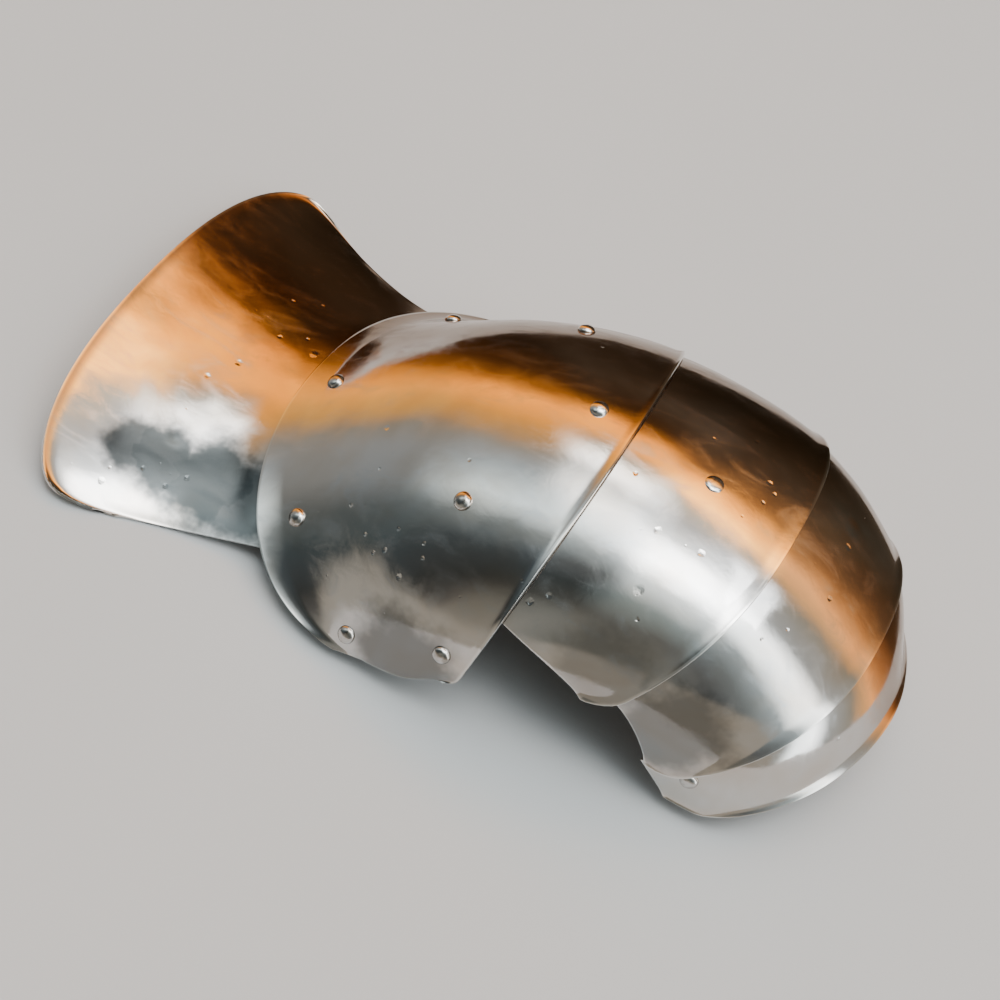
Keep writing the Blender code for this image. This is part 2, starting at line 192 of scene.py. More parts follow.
# outer_depth is how far the plate under the head lies inside the form
Rivet = namedtuple("Rivet", "name station turn head_height outer_depth grip")
RIVETS = (
    Rivet("neck_rivet_front_low", 0.60, -0.83, HEAD_HEIGHT, 0.0, THROUGH_NECK),
    Rivet("neck_rivet_front", 0.29, -0.46, HEAD_HEIGHT, 0.0, THROUGH_NECK),
    Rivet("neck_rivet_middle", 0.19, -0.02, HEAD_HEIGHT, 0.0, THROUGH_NECK),
    Rivet("neck_rivet_back", 0.29, 0.46, HEAD_HEIGHT, 0.0, THROUGH_NECK),
    Rivet("neck_rivet_back_low", 0.60, 0.83, HEAD_HEIGHT, 0.0, THROUGH_NECK),
    Rivet("side_rivet_front", 1.36, -0.38, HEAD_HEIGHT, 0.0, THROUGH_STRAP),
    Rivet("side_rivet_back", 1.36, 0.38, HEAD_HEIGHT, 0.0, THROUGH_STRAP),
    Rivet("arm_rivet_front", 1.67, -0.86, HEAD_HEIGHT, 0.0, THROUGH_COP),
    Rivet("arm_rivet_middle", 1.77, 0.00, HEAD_HEIGHT, 0.0, THROUGH_STRAP),
    Rivet("arm_rivet_back", 1.67, 0.86, HEAD_HEIGHT, 0.0, THROUGH_COP),
    Rivet("lame_1_rivet", 2.48, -0.03, LOW_HEAD_HEIGHT, PLATE_STEP, THROUGH_STRAP),
    Rivet("lame_3_rivet_front", 4.12, -0.86, HEAD_HEIGHT, 3 * PLATE_STEP, THROUGH_STRAP),
    Rivet("lame_3_rivet_back", 4.12, 0.86, HEAD_HEIGHT, 3 * PLATE_STEP, THROUGH_STRAP),
)

Pin = namedtuple("Pin", "name lame_index strap_index")
PINS = (
    Pin("lame_1_pin_front", 1, 0),
    Pin("lame_1_pin_back", 1, 2),
    Pin("lame_2_pin_front", 2, 0),
    Pin("lame_2_pin_middle", 2, 1),
    Pin("lame_2_pin_back", 2, 2),
    Pin("lame_3_pin_middle", 3, 1),
)

# Knocks at least this wide are shaped, smaller ones are only shaded
BROAD_DENT = 0.0035

# Knocks in the plates. On the cop and lames along is a station and across a turn; on the neck
# plate along runs from its free edge to the cop's rim. A negative depth is a bump.
Dent = namedtuple("Dent", "plate along across radius depth")
DENTS = (
    Dent("neck_plate", 0.50, -0.42, 0.0050, 0.00020),
    Dent("neck_plate", 0.41, -0.60, 0.0014, 0.00011),
    Dent("neck_plate", 0.58, -0.62, 0.0016, 0.00012),
    Dent("neck_plate", 0.50, -0.68, 0.0015, 0.00009),
    Dent("neck_plate", 0.26, -0.72, 0.0019, 0.00010),
    Dent("neck_plate", 0.82, 0.13, 0.0024, -0.00022),
    Dent("neck_plate", 0.55, -0.04, 0.0021, 0.00016),
    Dent("neck_plate", 0.48, -0.13, 0.0019, 0.00014),
    Dent("neck_plate", 0.62, 0.38, 0.0011, 0.00015),
    Dent("neck_plate", 0.52, 0.28, 0.0012, 0.00016),
    Dent("neck_plate", 0.72, 0.18, 0.0012, 0.00016),
    Dent("neck_plate", 0.61, 0.11, 0.0014, 0.00015),
    Dent("cop", 0.72, -0.20, 0.0016, 0.00015),
    Dent("cop", 0.66, -0.42, 0.0011, 0.00013),
    Dent("cop", 0.80, -0.50, 0.0012, 0.00015),
    Dent("cop", 0.88, -0.55, 0.0011, 0.00014),
    Dent("cop", 0.96, -0.54, 0.0014, 0.00016),
    Dent("cop", 1.02, -0.48, 0.0011, 0.00011),
    Dent("cop", 1.22, -0.51, 0.0011, 0.00014),
    Dent("cop", 1.24, -0.55, 0.0011, 0.00014),
    Dent("cop", 1.10, -0.61, 0.0015, 0.00016),
    Dent("cop", 0.78, -0.32, 0.0010, 0.00010),
    Dent("cop", 1.55, 0.28, 0.0011, 0.00013),
    Dent("lame_1", 2.72, 0.05, 0.0015, 0.00019),
    Dent("lame_1", 2.77, 0.03, 0.0012, 0.00015),
    Dent("lame_1", 2.74, 0.00, 0.0011, 0.00014),
    Dent("lame_1", 2.12, -0.13, 0.0014, 0.00015),
    Dent("lame_1", 2.36, 0.09, 0.0011, 0.00011),
    Dent("lame_1", 2.56, 0.16, 0.0012, 0.00012),
    Dent("lame_1", 2.38, -0.24, 0.0019, 0.00014),
    Dent("lame_1", 2.62, -0.22, 0.0019, 0.00016),
    Dent("lame_1", 2.50, -0.42, 0.0026, 0.00010),
    Dent("lame_1", 2.07, -0.60, 0.0019, 0.00019),
    Dent("lame_1", 2.14, -0.56, 0.0016, 0.00015),
    Dent("lame_1", 2.60, -0.50, 0.0012, 0.00013),
    Dent("lame_2", 3.34, 0.14, 0.0048, 0.00040),
    Dent("lame_2", 3.36, 0.07, 0.0020, 0.00020),
    Dent("lame_2", 3.42, -0.05, 0.0014, 0.00013),
    Dent("lame_2", 3.30, -0.22, 0.0011, 0.00010),
    Dent("lame_2", 3.83, -0.82, 0.0046, 0.00030),
    Dent("lame_3", 4.45, -0.30, 0.0012, 0.00011),
)

# Painted dark reflections: dull grey patches painted into the polish's colour where it would mirror
# dark surroundings, placed as the knocks are
PaintedReflection = namedtuple("PaintedReflection", "plate along across radius strength")
PAINTED_REFLECTIONS = (
    PaintedReflection("neck_plate", 0.36, -0.50, 0.016, 0.92),
    PaintedReflection("neck_plate", 0.48, -0.53, 0.022, 0.95),
    PaintedReflection("neck_plate", 0.67, -0.62, 0.028, 0.96),
    PaintedReflection("neck_plate", 0.86, -0.76, 0.023, 0.92),
    PaintedReflection("lame_1", 2.70, -0.72, 0.024, 0.35),
    PaintedReflection("lame_2", 3.45, -0.78, 0.030, 0.62),
    PaintedReflection("cop", 1.20, -0.92, 0.030, 0.68),
)

# How far toward the back the painted reflection, a brown darkening of the polish, starts and is
# full, in metres
BACK_REFLECTION_REACH = (-0.012, 0.045)
LAST_LAME_BACK_REFLECTION_REACH = (-0.045, 0.020)

# What the camera and the softbox look at
CAMERA_TARGET = Vector((-0.0042, 0.0134, 0.0012))
SOFTBOX_TARGET = Vector((0.0, 0.0, 0.05))


# Shoulder form

def hermite(here, there, leave, arrive, share):
    """Smooth way from here to there, leaving and arriving along the two given tangents."""
    return (
        here * (1 + 2 * share) * (1 - share) ** 2
        + leave * share * (1 - share) ** 2
        + there * share ** 2 * (3 - 2 * share)
        + arrive * share ** 2 * (share - 1)
    )


def blend_rows(rows, station):
    """Smooth sections at an array of stations along the rows."""
    table = np.array(rows)
    slopes = np.empty_like(table)
    slopes[1:-1] = (table[2:] - table[:-2]) / 2
    slopes[0] = table[1] - table[0]
    slopes[-1] = table[-1] - table[-2]
    cell = np.clip(np.floor(station).astype(int), 0, len(table) - 2)
    share = (station - cell)[..., None]
    return hermite(table[cell], table[cell + 1], slopes[cell], slopes[cell + 1], share)


def arch_points(sections, turn):
    """Points of arches, at turn -1 in front, 0 on the crown and 1 at the back."""
    foot_x, foot_z, reach, rise, half_width, fullness, crest = np.moveaxis(sections, -1, 0)
    angle = turn * math.pi / 2
    top = np.maximum(np.cos(angle), 0.0)
    side = np.sign(angle) * np.abs(np.sin(angle)) ** fullness
    return np.stack((
        foot_x + reach * top ** fullness,
        half_width * side,
        foot_z + rise * top ** crest,
    ), axis=-1)


def shoulder_points(station, turn, offset=0.0):
    """Points of the shoulder form, moved offset metres out along its normals."""
    station, turn = np.broadcast_arrays(np.asarray(station, float), np.asarray(turn, float))
    points = arch_points(blend_rows(SHOULDER_SECTIONS, station), turn)
    return points + np.asarray(offset)[..., None] * shoulder_normals(station, turn)


def shoulder_normals(station, turn):
    """Unit normals of the shoulder form, pointing out."""
    step = STATION_STEP / 2
    station, turn = np.broadcast_arrays(np.asarray(station, float), np.asarray(turn, float))
    inner = np.clip(turn, -1 + 2 * step, 1 - 2 * step)
    along = (
        arch_points(blend_rows(SHOULDER_SECTIONS, station + step), inner)
        - arch_points(blend_rows(SHOULDER_SECTIONS, station - step), inner)
    )
    middle = blend_rows(SHOULDER_SECTIONS, station)
    across = arch_points(middle, inner + step) - arch_points(middle, inner - step)
    normal = np.cross(along, across)
    return normal / np.linalg.norm(normal, axis=-1, keepdims=True)


def stations_from(station, turn, distance):
    """Stations that lie distance metres on toward the arm, or back where it is negative."""
    reached, turn, distance = (
        part.astype(float) for part in np.broadcast_arrays(station, turn, distance))
    step = np.copysign(STATION_STEP, distance)
    left = np.abs(distance)
    point = shoulder_points(reached, turn)
    while (left > 0).any():
        following = shoulder_points(reached + step, turn)
        stride = np.linalg.norm(following - point, axis=-1)
        share = np.minimum(left / np.maximum(stride, 1e-9), 1.0)
        reached = reached + step * share
        left = np.where(share < 1.0, 0.0, left - stride)
        point = following
    return reached


def neck_points(place, share):
    """Points of the neck plate between its free edge, share 0, and the cop's rim, share 1."""
    place, share = np.broadcast_arrays(np.asarray(place, float), np.asarray(share, float))
    rim_turn = place * WAIST_TURN
    rim = np.full_like(place, RIM_STATION)
    start = arch_points(np.broadcast_to(np.array(NECK_EDGE), (*place.shape, 7)), place)
    finish = shoulder_points(rim, rim_turn, -PLATE_STEP)
    beyond = shoulder_points(rim + STATION_STEP, rim_turn, -PLATE_STEP)
    span = np.linalg.norm(finish - start, axis=-1, keepdims=True)
    leave = np.stack((
        np.ones_like(place),
        -WAIST_PULL * place ** 3,
        np.full_like(place, -WAIST_SINK),
    ), axis=-1) * span * LEAVE_PULL
    onward = beyond - finish
    onward = onward / np.linalg.norm(onward, axis=-1, keepdims=True)
    return hermite(start, finish, leave, onward * span * ARRIVE_PULL, share[..., None])


def edge_fade(distance, width, fold=SOFT_FOLD):
    """1 at an edge, falling to 0 at width metres from it. A low fold leaves a crease there."""
    return np.maximum(1 - distance / width, 0.0) ** fold


def corner_back(place, corner_share, radius):
    """Metres by which an edge draws back near its ends, to round the corners."""
    inward = np.minimum((1 - np.abs(place)) / corner_share, 1.0)
    return radius * (1 - np.sqrt(1 - (1 - inward) ** 2))


def places(cells, corner_share):
    """Places from -1 to 1 across a plate, drawn together where its end corners round."""
    angle = np.linspace(0, math.pi / 2, CORNER_CELLS + 1)
    end = 1 - corner_share * (1 - np.cos(angle))
    middle = np.linspace(-(1 - corner_share), 1 - corner_share, cells + 1)[1:-1]
    return np.concatenate((-end, middle, end[::-1]))


def arc_length(station, reach):
    """Length along the form from the crown out to a turn."""
    points = shoulder_points(np.full(41, station), np.linspace(0, reach, 41))
    return float(np.linalg.norm(np.diff(points, axis=0), axis=1).sum())


def lengths(points, axis):
    """Running length of a grid of points along one axis."""
    steps = np.linalg.norm(np.diff(points, axis=axis), axis=-1)
    start = np.zeros_like(np.take(steps, [0], axis=axis))
    return np.concatenate((start, np.cumsum(steps, axis=axis)), axis=axis)


# Meshes

def hammer_wave(points, height):
    """Low waves that hammer work leaves in sheet, in metres for each point."""
    broad_scale, fine_scale, fine_share = 38.0, 96.0, 0.28
    fine_shift = Vector((7.0, 3.0, 5.0))
    flat = points.reshape(-1, 3)
    waves = np.empty(len(flat))
    for index, spot in enumerate(flat):
        broad = noise.noise(Vector(spot) * broad_scale)
        fine = noise.noise(Vector(spot) * fine_scale + fine_shift)
        waves[index] = broad + fine_share * fine
    return height * waves.reshape(points.shape[:-1])


def grid_normals(points):
    """Unit normals of a sheet, whose ends take them from further in, where the cells are wide."""
    normal = np.cross(np.gradient(points, axis=1), np.gradient(points, axis=0))
    length = np.maximum(np.linalg.norm(normal, axis=-1, keepdims=True), 1e-12)
    normal = normal / length
    normal[:3] = normal[3]
    normal[-3:] = normal[-4]
    middle = normal[normal.shape[0] // 2, normal.shape[1] // 2]
    return normal if middle[2] > 0 else -normal


def dent_field(name, points, locate):
    """Depth of the named plate's knocks for each point, with a low raised ring round each."""
    field = np.zeros(points.shape[:-1])
    for dent in DENTS:
        if dent.plate == name and dent.radius >= BROAD_DENT:
            away = np.linalg.norm(points - locate(dent.along, dent.across), axis=-1) / dent.radius
            bowl = np.maximum(1 - away ** 2, 0.0) ** 2
            ring = np.exp(-((away - 1.25) / 0.35) ** 2)
            field += dent.depth * (bowl - 0.16 * ring)
    return field


def sheet_mesh(name, points, normal):
    """Mesh through columns of points, whose faces look along the normals."""
    columns, rows = points.shape[:2]
    spots = points.reshape(-1, 3) + np.array(FORM_SPOT)
    corners = np.arange(columns * rows).reshape(columns, rows)
    quads = np.stack((
        corners[:-1, :-1], corners[:-1, 1:], corners[1:, 1:], corners[1:, :-1],
    ), axis=-1).reshape(-1, 4)
    middle = corners[columns // 2, rows // 2]
    one, two, three = spots[middle], spots[middle + 1], spots[middle + rows + 1]
    if np.dot(np.cross(two - one, three - one), normal.reshape(-1, 3)[middle]) < 0:
        quads = quads[:, ::-1]
    mesh = bpy.data.meshes.new(name)
    mesh.from_pydata(spots.tolist(), [], quads.tolist())
    return mesh


def add_piece(name, mesh, node):
    """Object of a mesh that stands for a CAD node and rides on the spaulder's one body."""
    mesh.shade_smooth()
    piece = bpy.data.objects.new(name, mesh)
    bpy.context.collection.objects.link(piece)
    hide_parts(node)
    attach(piece, "root")
    return piece


def add_wall(piece, thickness, rounding, segments, angle_limit):
    """Thickens a sheet inward and rounds its cut edges."""
    wall = piece.modifiers.new("wall", "SOLIDIFY")
    wall.thickness = thickness
    wall.offset = -1.0
    bevel = piece.modifiers.new("edge rounding", "BEVEL")
    bevel.width = rounding
    bevel.segments = segments
    bevel.limit_method = "ANGLE"
    bevel.angle_limit = math.radians(angle_limit)
    return wall


def mark_edges(mesh, distance):
    """Gives each point of a mesh its distance from the nearest edge, for the finishes."""
    border = mesh.attributes.new("edge_mm", "FLOAT", "POINT")
    border.data.foreach_set("value", (distance * 1000).ravel())


def plate_object(name, points, edge_distance, locate, wave):
    """Smooth sheet through columns of points, with its lengths as UVs and its edge distances."""
    normal = grid_normals(points)
    lift = wave - dent_field(name, points, locate)
    mesh = sheet_mesh(name, points + normal * lift[..., None], normal)
    layout = np.stack((lengths(points, 0), lengths(points, 1)), axis=-1).reshape(-1, 2)
    uv = mesh.uv_layers.new(name="lengths")
    loops = np.empty(len(mesh.loops), dtype=np.int32)
    mesh.loops.foreach_get("vertex_index", loops)
    uv.data.foreach_set("uv", layout[loops].ravel())
    mark_edges(mesh, edge_distance)
    mesh.materials.append(polished_steel(name, locate))
    mesh.materials.append(cached("hammered inside", build_inner_steel))
    plate = add_piece(name + "_plate", mesh, name)
    wall = add_wall(plate, SHEET, EDGE_ROUNDING, segments=2, angle_limit=55)
    wall.material_offset = 1
    wall.material_offset_rim = 0


def turned_mesh(name, profile, place):
    """Closed turned body from radius and height pairs, the first and last of them on the axis."""
    wobble_scale, wobble_seed_scale, wobble_share = 420.0, 90.0, 0.035
    shell = bmesh.new()
    rings = []
    for radius, height in profile[1:-1]:
        ring = []
        for side in range(FASTENER_SIDES):
            angle = 2 * math.pi * side / FASTENER_SIDES
            spot = (radius * math.cos(angle), radius * math.sin(angle), height)
            ring.append(shell.verts.new(spot))
        rings.append(ring)
    bottom = shell.verts.new((0.0, 0.0, profile[0][1]))
    top = shell.verts.new((0.0, 0.0, profile[-1][1]))
    for side in range(FASTENER_SIDES):
        following = (side + 1) % FASTENER_SIDES
        shell.faces.new((bottom, rings[0][following], rings[0][side]))
        shell.faces.new((top, rings[-1][side], rings[-1][following]))
        for lower, upper in zip(rings, rings[1:]):
            shell.faces.new((lower[side], lower[following], upper[following], upper[side]))
    seed = place.translation * wobble_seed_scale
    for vert in shell.verts:
        vert.co *= 1 + wobble_share * noise.noise(vert.co * wobble_scale + seed)
    shell.transform(place)
    mesh = bpy.data.meshes.new(name)
    shell.to_mesh(mesh)
    shell.free()
    return mesh


def form_place(station, turn, depth):
    """Matrix at the form, moved depth inward, whose Z is the form's normal."""
    axis = Vector(shoulder_normals(station, turn))
    spot = Vector(shoulder_points(station, turn)) - axis * depth + FORM_SPOT
    turning = Vector((0.0, 0.0, 1.0)).rotation_difference(axis).to_matrix().to_4x4()
    return Matrix.Translation(spot) @ turning


# Finishes

class Value:
    """A shader socket whose operators add Math nodes."""

    def __init__(self, nodes, socket):
        self.nodes = nodes
        self.socket = socket

    def _math(self, operation, first, second):
        return self.nodes.add("ShaderNodeMath", {"operation": operation}, {0: first, 1: second})

    def __add__(self, other):
        return self._math("ADD", self, other)

    def __radd__(self, other):
        return self._math("ADD", other, self)

    def __sub__(self, other):
        return self._math("SUBTRACT", self, other)

    def __rsub__(self, other):
        return self._math("SUBTRACT", other, self)

    def __mul__(self, other):
        return self._math("MULTIPLY", self, other)

    def __rmul__(self, other):
        return self._math("MULTIPLY", other, self)

    def __truediv__(self, other):
        return self._math("DIVIDE", self, other)

    def __rtruediv__(self, other):
        return self._math("DIVIDE", other, self)


class Nodes:
    """A node tree with short ways to add its nodes."""

    def __init__(self, tree):
        self.tree = tree

    def add(self, kind, settings=None, values=None, output=0):
        """Adds a node with its settings, then the values or links of its sockets."""
        node = self.tree.nodes.new(kind)
        for key, value in (settings or {}).items():
            if key == "stops":
                self._stops(node.color_ramp, value)
            else:
                setattr(node, key, value)
        for key, value in (values or {}).items():
            self.put(node.inputs[key], value)
        return Value(self, node.outputs[output])

    def _stops(self, ramp, stops):
        while len(ramp.elements) < len(stops):
            ramp.elements.new(0.5)
        for element, (position, tint) in zip(ramp.elements, stops):
            element.position = position
            element.color = (*tint, 1.0)

    def put(self, socket, value):
        if value is None:
            return
        if isinstance(value, Value):
            self.tree.links.new(value.socket, socket)
        else:
            socket.default_value = value

    def fade(self, value, low, high, start=0.0, end=1.0):
        """Value mapped from low..high to start..end, smooth and held at both ends."""
        return self.add("ShaderNodeMapRange", {"interpolation_type": "SMOOTHSTEP"}, {
            "Value": value, "From Min": low, "From Max": high, "To Min": start, "To Max": end,
        })

    def mix(self, share, first, second):
        return self.add("ShaderNodeMix", {"data_type": "RGBA"}, {
            0: share, 6: first, 7: second,
        }, output=2)


class Finish(Nodes):
    """Node tree of one new material."""

    def __init__(self, name):
        self.material = bpy.data.materials.new(name)
        self.material.use_nodes = True
        super().__init__(self.material.node_tree)
        self.shader = self.tree.nodes["Principled BSDF"]

    def surface(self, **sockets):
        for key, value in sockets.items():
            self.put(self.shader.inputs[key.replace("_", " ")], value)

    def spots(self):
        """Places in metres in the frame."""
        return self.add("ShaderNodeTexCoord", output=3)

    def lengths(self):
        return self.add("ShaderNodeUVMap", {"uv_map": "lengths"})

    def edge(self):
        """Millimetres from the piece's nearest edge."""
        return self.add("ShaderNodeAttribute", {"attribute_name": "edge_mm"}, output=2)

    def distance(self, first, second):
        return self.add("ShaderNodeVectorMath", {"operation": "DISTANCE"}, {
            0: first, 1: second,
        }, output=1)

    def stretched(self, vector, scale, angle=0.0):
        """Vector turned by angle degrees, then divided by scale."""
        return self.add("ShaderNodeMapping", {"vector_type": "TEXTURE"}, {
            "Vector": vector, "Rotation": (0.0, 0.0, math.radians(angle)), "Scale": scale,
        })

    def noise(self, vector, scale, detail=2.0, roughness=0.5, distortion=0.0):
        return self.add("ShaderNodeTexNoise", {}, {
            "Vector": vector, "Scale": scale, "Detail": detail,
            "Roughness": roughness, "Distortion": distortion,
        })

    def warped(self, vector, distance):
        """Vector moved about by up to distance metres."""
        drift = self.add("ShaderNodeTexNoise", {}, {
            "Vector": vector, "Scale": 700.0, "Detail": 1.0,
        }, output=1)
        centred = self.add("ShaderNodeVectorMath", {"operation": "SUBTRACT"}, {
            0: drift, 1: (0.5, 0.5, 0.5),
        })
        return self.add("ShaderNodeVectorMath", {"operation": "MULTIPLY_ADD"}, {
            0: centred, 1: (2 * distance, 2 * distance, 2 * distance), 2: vector,
        })

    def bump(self, height):
        """Normal for a height in metres."""
        return self.add("ShaderNodeBump", {}, {
            "Strength": 1.0, "Distance": 1.0, "Height": height,
        })


def colour(values):
    return (*values, 1.0)


def cached(name, build):
    """The named material, built on its first use."""
    found = bpy.data.materials.get(name)
    return found if found is not None else build(name)


def scratch_lines(finish, vector, angle, spacing):
    """Fine polishing lines at an angle to the plate's lengths, 0 to 1."""
    along = finish.stretched(vector, (spacing, spacing * 34, 1.0), angle)
    return finish.noise(along, 1.0, 2.0, 0.6, 0.35)


def pit_field(finish, vector, spacing, share, radius):
    """Small round pits in a random share of cells, 1 at a pit's bottom."""
    cell = finish.add("ShaderNodeTexVoronoi", {"feature": "F1"}, {
        "Vector": vector, "Scale": 1.0 / spacing, "Randomness": 1.0,
    })
    tint = finish.add("ShaderNodeTexVoronoi", {"feature": "F1"}, {
        "Vector": vector, "Scale": 1.0 / spacing, "Randomness": 1.0,
    }, output=1)
    chance = finish.add("ShaderNodeSeparateColor", {}, {0: tint})
    chosen = finish.add("ShaderNodeMath", {"operation": "LESS_THAN"}, {0: chance, 1: share})
    bowl = finish.fade(cell, 0.0, radius / spacing, 1.0, 0.0)
    return bowl * chosen


def painted_reflection_field(finish, spots, painted_reflections):
    """Strength of painted dark reflections, patches with ragged edges, given by their spots, radii
    and strengths.
    """
    total = 0.0
    ragged = finish.noise(spots, 60.0, 3.0, 0.6) - 0.5
    for spot, radius, strength in painted_reflections:
        away = finish.distance(spots, spot) + ragged * radius * 0.9
        patch = finish.fade(away, 0.50 * radius, 1.05 * radius, strength, 0.0)
        total = finish.add("ShaderNodeMath", {"operation": "MAXIMUM"}, {0: patch, 1: total})
    return total


def knock_field(finish, spots, knocks):
    """Depth in metres of small knocks, given by their spots, radii and depths."""
    total = 0.0
    uneven = finish.warped(spots, 0.0006)
    for spot, radius, depth in knocks:
        away = finish.distance(uneven, spot)
        total = finish.fade(away, 0.1 * radius, radius, depth, 0.0) + total
    return total


def build_polished_steel(name, knocks, painted_reflections, back_reflection_reach):
    look = bpy.context.scene.spaulder_finish
    finish = Finish(name)
    spots = finish.spots()
    flat = finish.lengths()
    clouds = finish.noise(spots, 22.0, 3.0, 0.55, 0.4)
    smears = finish.noise(finish.stretched(spots, (1.0, 0.4, 0.6)), 34.0, 4.0, 0.6, 1.2)
    lines = (
        scratch_lines(finish, flat, 12.0, 0.00055)
        + scratch_lines(finish, flat, -48.0, 0.00050)
        + scratch_lines(finish, flat, 71.0, 0.00060)
    ) / 3.0
    pits = pit_field(finish, spots, 0.015, 0.20, 0.0011)
    specks = pit_field(finish, spots, 0.006, 0.10, 0.0006)
    # Paler edges: partly edge wear, partly a painted highlight along the rounded edges
    edge_wear_and_highlight = finish.fade(finish.edge(), 0.2, 1.6, 1.0, 0.0)
    base = finish.mix(finish.fade(clouds, 0.35, 0.70), colour(look.steel), colour(look.steel_warm))
    base = finish.mix(finish.fade(smears, 0.52, 0.78, 0.0, 0.5), base, colour(look.steel_blue))
    # Painted reflection: the base colour darkens to brown toward the back, standing in for the dark
    # surroundings the polish would mirror there
    back = finish.add("ShaderNodeSeparateXYZ", {}, {0: spots}, output=1)
    tinge = finish.fade(back + (clouds - 0.5) * 0.04, *back_reflection_reach) * 0.92
    base = finish.mix(tinge, base, colour(look.tinge))
    # Painted dark reflections: ragged patches where the colour turns dark grey
    painted_reflection_share = painted_reflection_field(finish, spots, painted_reflections)
    base = finish.mix(painted_reflection_share, base, colour(look.painted_reflection))
    base = finish.mix(pits * 0.55, base, colour((0.16, 0.13, 0.10)))
    # Painted highlight and wear: the base colour turns pale near each edge
    base = finish.mix(edge_wear_and_highlight * 0.6, base, colour((0.80, 0.78, 0.75)))
    rough = (
        look.roughness
        + finish.fade(smears, 0.40, 0.75, -0.04, 0.10)
        + (lines - 0.5) * 0.20
        + pits * 0.2
        - edge_wear_and_highlight * 0.05
    )
    ripples = finish.noise(spots, 130.0, 2.0, 0.5, 0.6)
    height = (
        (ripples - 0.5) * 0.000030
        + (lines - 0.5) * 0.0000034
        - pits * 0.00012
        - specks * 0.00004
        - knock_field(finish, spots, knocks)
    )
    finish.surface(
        Base_Color=base, Metallic=1.0, Roughness=rough, Normal=finish.bump(height),
    )
    return finish.material


def polished_steel(plate, locate):
    """Polished steel of one plate, with the small knocks and the painted dark reflections that lie
    on it.
    """
    knocks = [
        (tuple(locate(dent.along, dent.across) + FORM_SPOT), dent.radius, dent.depth)
        for dent in DENTS if dent.plate == plate and dent.radius < BROAD_DENT
    ]
    painted_reflections = [
        (tuple(locate(painted_reflection.along, painted_reflection.across) + FORM_SPOT), painted_reflection.radius, painted_reflection.strength)
        for painted_reflection in PAINTED_REFLECTIONS if painted_reflection.plate == plate
    ]
    reach = LAST_LAME_BACK_REFLECTION_REACH if plate == LAMES[-1].name else BACK_REFLECTION_REACH
    return build_polished_steel("polished steel " + plate, knocks, painted_reflections, reach)


def build_inner_steel(name):
    look = bpy.context.scene.spaulder_finish
    finish = Finish(name)
    spots = finish.spots()
    scale = finish.noise(spots, 60.0, 5.0, 0.65, 0.5)
    marks = finish.noise(spots, 24.0, 3.0)
    planish = finish.add("ShaderNodeTexVoronoi", {"feature": "SMOOTH_F1"}, {
        "Vector": spots, "Scale": 85.0, "Smoothness": 0.8,
    })
    base = finish.mix(
        finish.fade(scale, 0.40, 0.68), colour(look.inside), colour((0.30, 0.26, 0.22)))
    base = finish.mix(finish.fade(marks, 0.5, 0.75, 0.0, 0.5), base, colour((0.10, 0.08, 0.07)))
    rough = 0.42 + finish.fade(scale, 0.35, 0.70, -0.08, 0.14)
    height = planish * 0.00022 + (scale - 0.5) * 0.00003
    finish.surface(
        Base_Color=base, Metallic=1.0, Roughness=rough, Normal=finish.bump(height),
    )
    return finish.material


def build_rivet_steel(name):
    look = bpy.context.scene.spaulder_finish
    finish = Finish(name)
    spots = finish.spots()
    grain = finish.noise(spots, 900.0, 3.0, 0.6)
    blotch = finish.noise(spots, 260.0, 2.0, 0.5)
    base = finish.mix(
        finish.fade(blotch, 0.4, 0.7), colour(look.rivet), colour((0.36, 0.32, 0.28)))
    finish.surface(
        Base_Color=base, Metallic=1.0,
        Roughness=0.17 + (grain - 0.5) * 0.14,
        Normal=finish.bump((grain - 0.5) * 0.00002 + (blotch - 0.5) * 0.00005),
    )
    return finish.material


def build_strap_leather(name):
    look = bpy.context.scene.spaulder_finish
    finish = Finish(name)
    spots = finish.spots()
    creases = finish.add("ShaderNodeTexVoronoi", {"feature": "DISTANCE_TO_EDGE"}, {
        "Vector": finish.stretched(spots, (1.0, 0.7, 1.0)), "Scale": 900.0,
    })
    grain = finish.fade(creases, 0.0, 0.10)
    wear = finish.noise(spots, 70.0, 4.0, 0.6)
    fibre = finish.noise(finish.stretched(spots, (0.33, 1.0, 1.0)), 500.0, 3.0, 0.6)
    rim = finish.fade(finish.edge(), 0.4, 1.4, 1.0, 0.0)
    base = finish.mix(
        finish.fade(wear, 0.38, 0.70), colour(look.leather), colour((0.30, 0.17, 0.085)))
    base = finish.mix((1 - grain) * 0.5, base, colour((0.07, 0.035, 0.018)))
    base = finish.mix(rim * 0.7, base, colour((0.10, 0.055, 0.03)))
    finish.surface(
        Base_Color=base,
        Roughness=0.55 + finish.fade(wear, 0.3, 0.7, -0.08, 0.12),
        Normal=finish.bump(grain * 0.00008 + fibre * 0.00003 - rim * 0.0001),
    )
    return finish.material


def build_floor_finish(name):
    look = bpy.context.scene.spaulder_studio
    finish = Finish(name)
    spots = finish.spots()
    mottle = finish.noise(spots, 3.0, 3.0, 0.5)
    tooth = finish.noise(spots, 700.0, 2.0, 0.5)
    shade = colour(tuple(0.94 * part for part in look.floor))
    base = finish.mix(finish.fade(mottle, 0.3, 0.7, 0.0, 0.5), colour(look.floor), shade)
    finish.surface(
        Base_Color=base, Roughness=0.72 + (tooth - 0.5) * 0.1,
        Normal=finish.bump((tooth - 0.5) * 0.00004),
    )
    return finish.material


# Pieces

